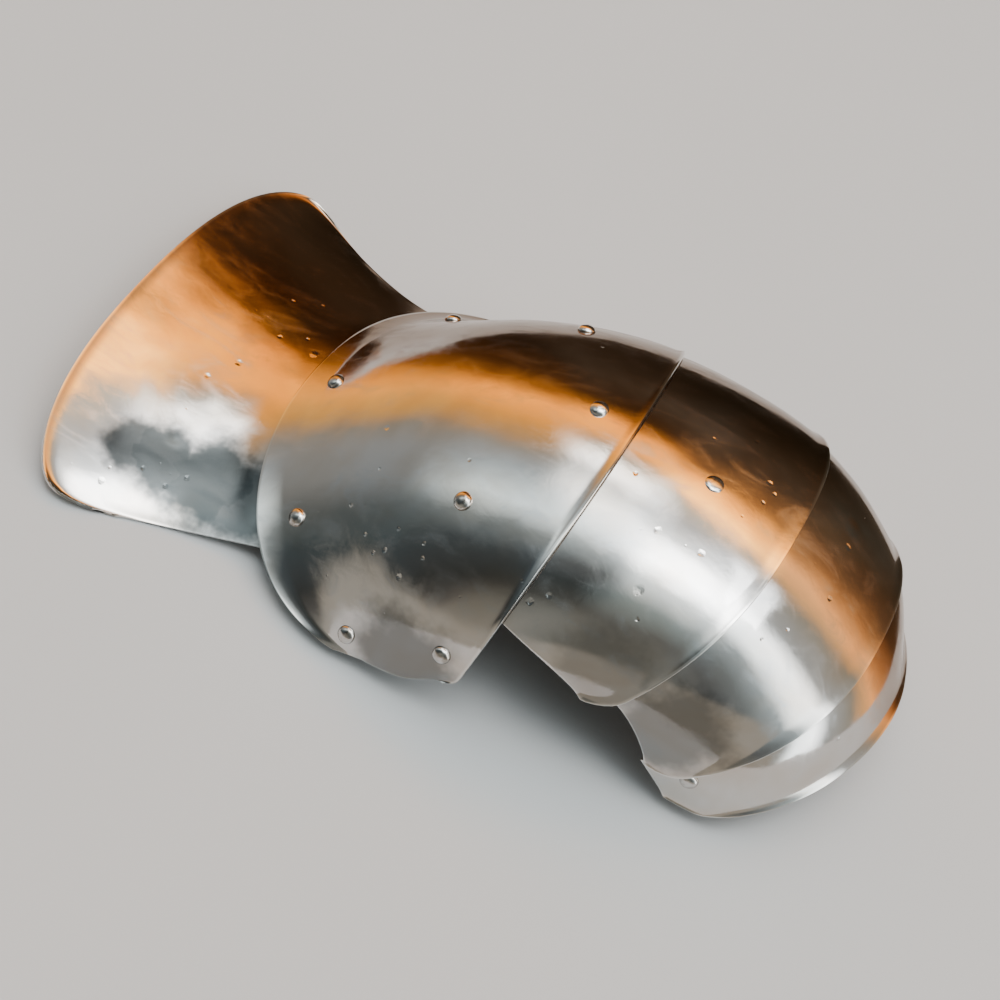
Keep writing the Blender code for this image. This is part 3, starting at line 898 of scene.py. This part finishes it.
def build_cop():
    across_cells, along_cells = COP_CELLS
    corner_share = COP_CORNER / arc_length(LIP_STATION, 1.0)
    turns = places(across_cells, corner_share)
    backs = corner_back(turns, corner_share, COP_CORNER)
    lips = stations_from(LIP_STATION, turns, -backs)
    share = np.linspace(0, 1, along_cells + 1)
    stations = RIM_STATION + (lips[:, None] - RIM_STATION) * share[None, :]
    across = np.broadcast_to(turns[:, None], stations.shape)
    flat = shoulder_points(stations, across, np.zeros_like(stations))
    from_rim = lengths(flat, 1)
    to_lip = from_rim[:, -1:] - from_rim
    from_foot = lengths(flat, 0)
    to_foot = np.minimum(from_foot, from_foot[-1:] - from_foot)
    rim_fold = edge_fade(from_rim, RIM_FLARE_WIDTH, CREASED_FOLD)
    offset = RIM_FLARE * rim_fold + LIP_FLARE * edge_fade(to_lip, LIP_FLARE_WIDTH)
    points = shoulder_points(stations, across, offset)
    edge = np.minimum(np.minimum(from_rim, to_lip), to_foot)
    wave = hammer_wave(points, bpy.context.scene.spaulder_sizes.hammer)
    plate_object("cop", points, edge, shoulder_points, wave)


def build_lame(index):
    lame = LAMES[index - 1]
    across_cells, along_cells = LAME_CELLS
    edge_station = LIP_STATION + index
    corner_share = LAME_CORNER / arc_length(edge_station, lame.edge_reach)
    across = places(across_cells, corner_share)
    backs = corner_back(across, corner_share, LAME_CORNER)
    tops = stations_from(edge_station - 1, across * lame.top_reach, -LAME_TUCK)
    ends = stations_from(edge_station, across * lame.edge_reach, -backs)
    share = np.linspace(0, 1, along_cells + 1)
    stations = tops[:, None] + (ends - tops)[:, None] * share[None, :]
    reach = lame.top_reach + (lame.edge_reach - lame.top_reach) * share[None, :]
    turns = across[:, None] * reach
    depth = index * PLATE_STEP
    flat = shoulder_points(stations, turns, np.full(stations.shape, -depth))
    from_top = lengths(flat, 1)
    to_edge = from_top[:, -1:] - from_top
    from_end = lengths(flat, 0)
    to_end = np.minimum(from_end, from_end[-1:] - from_end)
    flare = LAME_FLARE * edge_fade(to_edge, LAME_FLARE_WIDTH)
    points = shoulder_points(stations, turns, flare - depth)
    wave = hammer_wave(points + LAME_WAVE_SHIFT * index, bpy.context.scene.spaulder_sizes.hammer)
    plate_object(
        lame.name, points, np.minimum(to_edge, to_end),
        lambda station, turn: shoulder_points(station, turn, -depth), wave)


def build_neck_plate():
    across_cells, along_cells = NECK_CELLS
    corner_share = 2 * NECK_CORNER / NECK_WIDTH
    across = places(across_cells, corner_share)
    backs = corner_back(across, corner_share, NECK_CORNER)
    spans = np.linalg.norm(neck_points(across, 1.0) - neck_points(across, 0.0), axis=-1)
    first = (backs / spans)[:, None]
    share = first + (1 - first) * np.linspace(0, 1, along_cells + 1)[None, :]
    open_part = neck_points(np.broadcast_to(across[:, None], share.shape), share)
    inward = np.linspace(0, 1, TUCK_CELLS + 1)[None, 1:]
    turns = across[:, None] * (WAIST_TURN + (TUCK_TURN - WAIST_TURN) * np.sqrt(inward))
    stations = stations_from(RIM_STATION, turns, NECK_TUCK * inward)
    tucked = shoulder_points(stations, turns, np.full_like(turns, -PLATE_STEP))
    flat = np.concatenate((open_part, tucked), axis=1)
    from_edge = lengths(flat, 1)
    from_side = lengths(flat, 0)
    to_side = np.minimum(from_side, from_side[-1:] - from_side)
    corner_fade = np.minimum(to_side / NECK_CORNER, 1.0)
    flare = NECK_FLARE * edge_fade(from_edge, NECK_FLARE_WIDTH) * corner_fade
    points = flat + grid_normals(flat) * flare[..., None]
    height = bpy.context.scene.spaulder_sizes.hammer * NECK_WAVE_SHARE
    wave = hammer_wave(points + NECK_WAVE_SHIFT, height)
    fade = np.concatenate((
        np.ones(along_cells + 1 - SETTLING_ROWS),
        np.linspace(1, TUCKED_WAVES, SETTLING_ROWS),
        np.full(TUCK_CELLS, TUCKED_WAVES),
    ))
    plate_object(
        "neck_plate", points, np.minimum(from_edge, to_side),
        lambda share, place: neck_points(place, share), wave * fade[None, :])


def rounded(radius, low, high, rounding):
    """Profile of a disc edge from its low face to its high face with both corners rounded."""
    angles = [math.pi / 2 * cell / 4 for cell in range(5)]
    lower = [
        (radius - rounding * (1 - math.sin(angle)), low + rounding * (1 - math.cos(angle)))
        for angle in angles
    ]
    upper = [
        (radius - rounding * (1 - math.cos(angle)), high - rounding * (1 - math.sin(angle)))
        for angle in angles
    ]
    return lower + upper


def dome(radius, base, height):
    """Profile of a domed head, nearly upright at its rim."""
    rings = 13
    foot_share = 0.97
    profile = [(radius * foot_share, base)]
    for ring in range(rings):
        angle = math.pi / 2 * ring / rings
        profile.append((radius * math.cos(angle), base + HEAD_RIM + height * math.sin(angle)))
    return profile + [(0.0, base + HEAD_RIM + height)]


def add_fastener(name, profile, place):
    mesh = turned_mesh(name, profile, place)
    mesh.materials.append(cached("rivet heads", build_rivet_steel))
    add_piece(name + "_turned", mesh, name)


def build_rivet(rivet):
    under = -rivet.grip
    profile = [(0.0, under - TAIL_HEIGHT)]
    profile += rounded(TAIL_RADIUS, under - TAIL_HEIGHT, under, RIVET_TAIL_ROUNDING)
    profile += [(SHANK_RADIUS, under), (SHANK_RADIUS, -HEAD_SINK)]
    profile += dome(HEAD_RADIUS, -HEAD_SINK, rivet.head_height)
    add_fastener(rivet.name, profile, form_place(rivet.station, rivet.turn, rivet.outer_depth))


def strap_turn(strap, station):
    share = (station - strap.start_station) / (strap.end_station - strap.start_station)
    return strap.start_turn + (strap.end_turn - strap.start_turn) * share


def build_pin(pin):
    strap = STRAPS[pin.strap_index]
    lip = LIP_STATION + pin.lame_index - 1
    station = float(stations_from(lip, strap_turn(strap, lip), -PIN_INSET))
    under = -THROUGH_STRAP
    profile = [(0.0, under - TAIL_HEIGHT)]
    profile += rounded(TAIL_RADIUS, under - TAIL_HEIGHT, under, PIN_TAIL_ROUNDING)
    profile += [(SHANK_RADIUS, under), (SHANK_RADIUS, 0.0), (0.0, 0.0)]
    place = form_place(station, strap_turn(strap, station), pin.lame_index * PLATE_STEP)
    add_fastener(pin.name, profile, place)


def strap_knots(strap):
    """Stations and depths where a strap bends: one step down before each lame's top edge."""
    depth = SHEET + LEATHER_GAP
    knots = [(strap.start_station, depth)]
    for index in range(1, len(LAMES) + 1):
        lip = LIP_STATION + index - 1
        turn = strap_turn(strap, lip)
        ramp_end = LAME_TUCK + EDGE_MARGIN
        knots.append((float(stations_from(lip, turn, -ramp_end - STRAP_RAMP)), depth))
        depth += PLATE_STEP
        knots.append((float(stations_from(lip, turn, -ramp_end)), depth))
    knots.append((strap.end_station, depth))
    return knots


def build_strap(strap):
    across_cells, along_cells = STRAP_CELLS
    knots = strap_knots(strap)
    stations = np.linspace(strap.start_station, strap.end_station, along_cells + 1)
    depths = np.interp(stations, [knot[0] for knot in knots], [knot[1] for knot in knots])
    kernel = np.array([1.0, 2.0, 3.0, 2.0, 1.0]) / 9.0
    padded = np.concatenate(([depths[0]] * 2, depths, [depths[-1]] * 2))
    depths = np.maximum(np.convolve(padded, kernel, "valid"), depths)
    turns = np.array([strap_turn(strap, station) for station in stations])
    per_turn = np.linalg.norm(
        shoulder_points(stations, turns + STATION_STEP) - shoulder_points(stations, turns), axis=-1,
    ) / STATION_STEP
    sides = np.linspace(-1, 1, across_cells + 1)
    run = lengths(shoulder_points(stations, turns)[None], 1)[0]
    to_end = np.minimum(run, run[-1] - run)
    round_off = 1 - STRAP_TAPER * edge_fade(to_end, STRAP_END_ROUNDING)
    across = turns[None, :] + sides[:, None] * (STRAP_WIDTH / 2 / per_turn * round_off)[None, :]
    across = np.clip(across, -0.995, 0.995)
    points = shoulder_points(
        np.broadcast_to(stations[None, :], across.shape), across,
        np.broadcast_to(-depths[None, :], across.shape))
    edge = np.minimum(
        np.broadcast_to((1 - np.abs(sides))[:, None] * STRAP_WIDTH / 2, across.shape),
        np.broadcast_to(to_end[None, :], across.shape))
    mesh = sheet_mesh(strap.name, points, grid_normals(points))
    mark_edges(mesh, edge)
    mesh.materials.append(cached("strap leather", build_strap_leather))
    leather = add_piece(strap.name + "_strap", mesh, strap.name)
    add_wall(leather, LEATHER, STRAP_EDGE_ROUNDING, segments=3, angle_limit=50)


# Studio

def aim(spot, target):
    """Matrix at spot whose -Z looks at target with its Y as near up as it can be."""
    back = (spot - target).normalized()
    right = Vector((0.0, 0.0, 1.0)).cross(back).normalized()
    return Matrix.Translation(spot) @ Matrix((right, back.cross(right), back)).transposed().to_4x4()


def add_softbox(name, azimuth, elevation, distance, side, power, tint):
    """Soft square light. Azimuth 0 is the back and 90 the arm's side, in degrees."""
    turn, rise = math.radians(azimuth), math.radians(elevation)
    spot = distance * Vector((
        math.cos(rise) * math.sin(turn), math.cos(rise) * math.cos(turn), math.sin(rise)))
    lamp = bpy.data.lights.new(name, "AREA")
    lamp.shape = "SQUARE"
    lamp.size = side
    lamp.energy = power
    lamp.color = tint
    softbox = bpy.data.objects.new(name, lamp)
    softbox.matrix_world = aim(spot, SOFTBOX_TARGET)
    bpy.context.collection.objects.link(softbox)


def add_camera():
    """Camera that looks down on the front of the shoulder, rolled as in the photo."""
    look = bpy.context.scene.spaulder_studio
    target = CAMERA_TARGET
    rise, side, roll = look.camera_elevation, look.camera_side, look.camera_roll
    toward = Vector((
        math.sin(side) * math.cos(rise), -math.cos(side) * math.cos(rise), math.sin(rise)))
    level = Vector((math.cos(side), math.sin(side), 0.0))
    upright = toward.cross(level)
    right = math.cos(roll) * level + math.sin(roll) * upright
    above = toward.cross(right)
    lens = bpy.data.cameras.new("studio camera")
    lens.lens = look.camera_lens
    lens.sensor_width = 36.0
    camera = bpy.data.objects.new("studio camera", lens)
    rows = Matrix((right, above, toward)).transposed().to_4x4()
    camera.matrix_world = Matrix.Translation(target + toward * look.camera_distance) @ rows
    bpy.context.collection.objects.link(camera)
    bpy.context.scene.camera = camera


# Tints of the studio's surroundings in five strips, from low on the neck's side over the middle to
# low on the arm's side. Each runs from straight in front, at -1, to straight behind, at 1.
LOW_NECK_TINTS = (
    (-1.00, (0.52, 0.48, 0.41)),
    (-0.90, (0.50, 0.46, 0.39)),
    (-0.83, (0.18, 0.17, 0.15)),
    (-0.74, (0.060, 0.065, 0.060)),
    (-0.52, (0.060, 0.080, 0.080)),
    (-0.34, (0.14, 0.165, 0.17)),
    (-0.14, (0.36, 0.38, 0.38)),
    (0.08, (0.42, 0.42, 0.40)),
    (0.22, (0.44, 0.38, 0.30)),
    (0.36, (1.20, 0.58, 0.14)),
    (0.50, (1.90, 0.78, 0.13)),
    (0.60, (0.60, 0.24, 0.045)),
    (0.68, (0.10, 0.040, 0.012)),
    (0.80, (0.022, 0.011, 0.005)),
    (1.00, (0.014, 0.008, 0.004)),
)
NECK_SIDE_TINTS = (
    (-1.00, (0.50, 0.46, 0.40)),
    (-0.90, (0.38, 0.35, 0.30)),
    (-0.83, (0.14, 0.135, 0.125)),
    (-0.74, (0.055, 0.060, 0.058)),
    (-0.54, (0.085, 0.105, 0.115)),
    (-0.36, (0.38, 0.44, 0.45)),
    (-0.22, (1.9, 2.2, 2.25)),
    (-0.10, (1.15, 1.30, 1.32)),
    (0.02, (0.66, 0.76, 0.80)),
    (0.16, (0.56, 0.50, 0.42)),
    (0.28, (0.95, 0.52, 0.20)),
    (0.38, (1.6, 0.66, 0.10)),
    (0.56, (3.3, 1.05, 0.07)),
    (0.66, (0.60, 0.20, 0.030)),
    (0.75, (0.15, 0.055, 0.015)),
    (0.86, (0.045, 0.024, 0.010)),
    (1.00, (0.020, 0.012, 0.006)),
)
MIDDLE_TINTS = (
    (-1.00, (0.40, 0.38, 0.33)),
    (-0.87, (0.24, 0.24, 0.21)),
    (-0.78, (0.085, 0.085, 0.075)),
    (-0.64, (0.060, 0.070, 0.068)),
    (-0.49, (0.14, 0.155, 0.16)),
    (-0.32, (0.85, 0.98, 1.00)),
    (-0.15, (3.4, 3.8, 3.9)),
    (0.02, (5.6, 5.7, 5.6)),
    (0.18, (2.3, 2.4, 2.4)),
    (0.29, (6.8, 6.8, 6.7)),
    (0.36, (5.6, 5.4, 5.0)),
    (0.41, (1.20, 1.10, 0.95)),
    (0.47, (1.3, 0.68, 0.28)),
    (0.53, (3.4, 1.20, 0.12)),
    (0.60, (3.8, 1.20, 0.09)),
    (0.66, (0.60, 0.20, 0.035)),
    (0.72, (0.11, 0.045, 0.012)),
    (0.79, (0.10, 0.055, 0.028)),
    (0.87, (0.14, 0.095, 0.060)),
    (1.00, (0.060, 0.045, 0.030)),
)
ARM_SIDE_TINTS = (
    (-1.00, (0.24, 0.24, 0.21)),
    (-0.80, (0.20, 0.21, 0.20)),
    (-0.60, (0.45, 0.56, 0.57)),
    (-0.36, (2.3, 2.5, 2.5)),
    (-0.17, (14.0, 14.4, 14.4)),
    (0.00, (11.0, 11.2, 11.2)),
    (0.10, (2.9, 3.0, 3.0)),
    (0.25, (1.10, 1.10, 1.10)),
    (0.37, (1.4, 1.2, 0.95)),
    (0.45, (7.2, 3.2, 0.65)),
    (0.56, (4.6, 1.60, 0.18)),
    (0.64, (0.60, 0.25, 0.08)),
    (0.72, (0.15, 0.085, 0.045)),
    (0.85, (0.15, 0.11, 0.075)),
    (1.00, (0.040, 0.032, 0.020)),
)
FAR_ARM_TINTS = (
    (-1.00, (0.24, 0.24, 0.21)),
    (-0.84, (0.15, 0.16, 0.16)),
    (-0.67, (0.25, 0.28, 0.28)),
    (-0.44, (0.60, 0.70, 0.72)),
    (-0.26, (4.2, 4.5, 4.5)),
    (-0.10, (5.6, 5.8, 5.8)),
    (0.06, (0.62, 0.63, 0.61)),
    (0.34, (0.48, 0.42, 0.32)),
    (0.42, (1.2, 0.64, 0.26)),
    (0.52, (2.4, 0.98, 0.28)),
    (0.60, (0.9, 0.36, 0.11)),
    (0.66, (0.24, 0.12, 0.055)),
    (0.74, (0.16, 0.10, 0.055)),
    (0.86, (0.12, 0.11, 0.085)),
    (1.00, (0.080, 0.072, 0.055)),
)

# Where each further strip starts and is full, from the neck's side, -1, to the arm's, 1
STRIPS = (
    (-0.95, -0.68, NECK_SIDE_TINTS),
    (-0.56, -0.34, MIDDLE_TINTS),
    (-0.24, -0.02, ARM_SIDE_TINTS),
    (0.14, 0.56, FAR_ARM_TINTS),
)
FRONT_WALL_TINT = (0.50, 0.46, 0.39)

# Corners of the floor board, which stand square in the camera's view
FLOOR_CORNERS = ((-0.375, 0.122), (-0.046, -0.325), (0.306, -0.086), (0.074, 0.560))
FLOOR_DROP = 0.0006


def tint_ramp(air, depth, tints):
    """Tint at a depth that runs from 0 in front to 1 behind."""
    stops = [((place + 1) / 2, tint) for place, tint in tints]
    return air.add("ShaderNodeValToRGB", {"stops": stops}, {0: depth})


def build_world():
    """Soft surroundings that the polish mirrors, behind a plain backdrop."""
    look = bpy.context.scene.spaulder_studio
    world = bpy.data.worlds.new("studio air")
    world.use_nodes = True
    air = Nodes(world.node_tree)
    where = air.add("ShaderNodeTexCoord")
    across = air.add("ShaderNodeSeparateXYZ", {}, {0: where}, output=0)
    back = air.add("ShaderNodeSeparateXYZ", {}, {0: where}, output=1)
    rise = air.add("ShaderNodeSeparateXYZ", {}, {0: where}, output=2)
    depth = back * 0.5 + 0.5
    glow = tint_ramp(air, depth, LOW_NECK_TINTS)
    for start, end, tints in STRIPS:
        glow = air.mix(air.fade(across, start, end), glow, tint_ramp(air, depth, tints))
    wall = air.fade(rise, 0.07, -0.03) * air.fade(back, -0.30, -0.55)
    glow = air.mix(wall, glow, colour(FRONT_WALL_TINT))
    direct = air.add("ShaderNodeLightPath", output=0)
    backdrop = air.tree.nodes["Background"]
    air.put(backdrop.inputs[0], air.mix(direct, glow, colour(look.backdrop)))
    bpy.context.scene.world = world


def build_floor():
    """Pale board under the spaulder, square to the camera."""
    mesh = bpy.data.meshes.new("floor")
    shell = bmesh.new()
    shell.faces.new([shell.verts.new((*corner, 0.0)) for corner in FLOOR_CORNERS])
    shell.to_mesh(mesh)
    shell.free()
    mesh.materials.append(cached("pale floor", build_floor_finish))
    floor = bpy.data.objects.new("floor", mesh)
    floor.location.z = -FLOOR_DROP
    bpy.context.collection.objects.link(floor)


# Settings

def tint_property(name, description, default):
    return FloatVectorProperty(
        name=name, description=description, default=default,
        subtype="COLOR", size=3, min=0.0, max=1.0)


class SpaulderSizes(PropertyGroup):
    """Sizes of the plates' hand work."""

    hammer: FloatProperty(
        name="Hammer waves", description="Height of the low waves that hammering leaves",
        default=0.00020, min=0.0, max=0.001, precision=5, unit="LENGTH")


class SpaulderFinish(PropertyGroup):
    """Colours and gloss of the pieces."""

    steel: tint_property("Steel", "Clean polished steel", (0.62, 0.61, 0.60))
    steel_warm: tint_property("Warm steel", "Faint brown bloom in the polish", (0.56, 0.51, 0.46))
    steel_blue: tint_property("Blue steel", "Faint blue bloom in the polish", (0.50, 0.54, 0.58))
    # Tint of the painted dark reflections
    painted_reflection: tint_property("PaintedReflection", "Dull grey stains", (0.034, 0.042, 0.044))
    # Tint of the painted brown reflection toward the back
    tinge: tint_property("Painted back reflection", "Brown bloom toward the back", (0.22, 0.135, 0.075))
    inside: tint_property("Inside", "Unpolished inner face", (0.20, 0.18, 0.165))
    rivet: tint_property("Rivets", "Rivet heads", (0.58, 0.56, 0.54))
    leather: tint_property("Leather", "Strap leather", (0.19, 0.10, 0.05))
    roughness: FloatProperty(
        name="Polish", description="Roughness of the polished faces", default=0.135,
        min=0.0, max=1.0, subtype="FACTOR")


class SpaulderStudio(PropertyGroup):
    """Floor, camera and lights."""

    floor: tint_property("Floor", "Pale floor", (0.42, 0.43, 0.435))
    backdrop: tint_property("Backdrop", "Plain backdrop behind the floor", (0.40, 0.395, 0.39))
    camera_elevation: FloatProperty(
        name="Camera elevation", description="Angle of the view above the front",
        default=math.radians(52.44), subtype="ANGLE")
    camera_side: FloatProperty(
        name="Camera side", description="Turn of the view to the arm's side",
        default=math.radians(9.18), subtype="ANGLE")
    camera_roll: FloatProperty(
        name="Camera roll", description="Roll of the camera", default=math.radians(23.76),
        subtype="ANGLE")
    camera_distance: FloatProperty(
        name="Camera distance", description="Distance to the middle of the view", default=0.92,
        min=0.1, unit="LENGTH")
    camera_lens: FloatProperty(
        name="Focal length", description="Focal length in millimetres", default=73.6, min=10.0)


# Operators

class SPAULDER_OT_neck_plate(Operator):
    """Build the flared neck plate"""

    bl_idname = "spaulder.neck_plate"
    bl_label = "Neck plate"

    def execute(self, context):
        build_neck_plate()
        return {"FINISHED"}


class SPAULDER_OT_cop(Operator):
    """Build the domed cop"""

    bl_idname = "spaulder.cop"
    bl_label = "Cop"

    def execute(self, context):
        build_cop()
        return {"FINISHED"}


class SPAULDER_OT_lames(Operator):
    """Build the lames that overlap down the arm"""

    bl_idname = "spaulder.lames"
    bl_label = "Lames"

    def execute(self, context):
        for index in range(1, len(LAMES) + 1):
            build_lame(index)
        return {"FINISHED"}


class SPAULDER_OT_rivets(Operator):
    """Build the rivets and the hidden pins"""

    bl_idname = "spaulder.rivets"
    bl_label = "Rivets and pins"

    def execute(self, context):
        for rivet in RIVETS:
            build_rivet(rivet)
        for pin in PINS:
            build_pin(pin)
        return {"FINISHED"}


class SPAULDER_OT_leathers(Operator):
    """Build the inner leathers"""

    bl_idname = "spaulder.leathers"
    bl_label = "Leathers"

    def execute(self, context):
        for strap in STRAPS:
            build_strap(strap)
        return {"FINISHED"}


class SPAULDER_OT_studio(Operator):
    """Set up the floor, the lights and the camera"""

    bl_idname = "spaulder.studio"
    bl_label = "Studio"

    def execute(self, context):
        build_world()
        build_floor()
        add_softbox(
            "arm side softbox", azimuth=84, elevation=60, distance=1.3,
            side=0.5, power=4.0, tint=(0.95, 0.98, 1.0))
        add_camera()
        return {"FINISHED"}


OPERATORS = (
    SPAULDER_OT_neck_plate,
    SPAULDER_OT_cop,
    SPAULDER_OT_lames,
    SPAULDER_OT_rivets,
    SPAULDER_OT_leathers,
    SPAULDER_OT_studio,
)


class SPAULDER_PT_panel(Panel):
    """Lists the spaulder's steps and settings"""

    bl_idname = "SPAULDER_PT_panel"
    bl_label = "Spaulder"
    bl_space_type = "VIEW_3D"
    bl_region_type = "UI"
    bl_category = "Spaulder"

    def draw(self, context):
        for operator in OPERATORS:
            self.layout.operator(operator.bl_idname)
        for group in ("spaulder_sizes", "spaulder_finish", "spaulder_studio"):
            settings = getattr(context.scene, group)
            box = self.layout.box()
            for key in settings.__annotations__:
                box.prop(settings, key)


CLASSES = (SpaulderSizes, SpaulderFinish, SpaulderStudio, *OPERATORS, SPAULDER_PT_panel)


def register():
    for item in CLASSES:
        bpy.utils.register_class(item)
    bpy.types.Scene.spaulder_sizes = PointerProperty(type=SpaulderSizes)
    bpy.types.Scene.spaulder_finish = PointerProperty(type=SpaulderFinish)
    bpy.types.Scene.spaulder_studio = PointerProperty(type=SpaulderStudio)


def unregister():
    del bpy.types.Scene.spaulder_studio
    del bpy.types.Scene.spaulder_finish
    del bpy.types.Scene.spaulder_sizes
    for item in reversed(CLASSES):
        bpy.utils.unregister_class(item)


def main():
    register()
    bpy.ops.spaulder.neck_plate()
    bpy.ops.spaulder.cop()
    bpy.ops.spaulder.lames()
    bpy.ops.spaulder.rivets()
    bpy.ops.spaulder.leathers()
    bpy.ops.spaulder.studio()


if __name__ == "__main__":
    main()
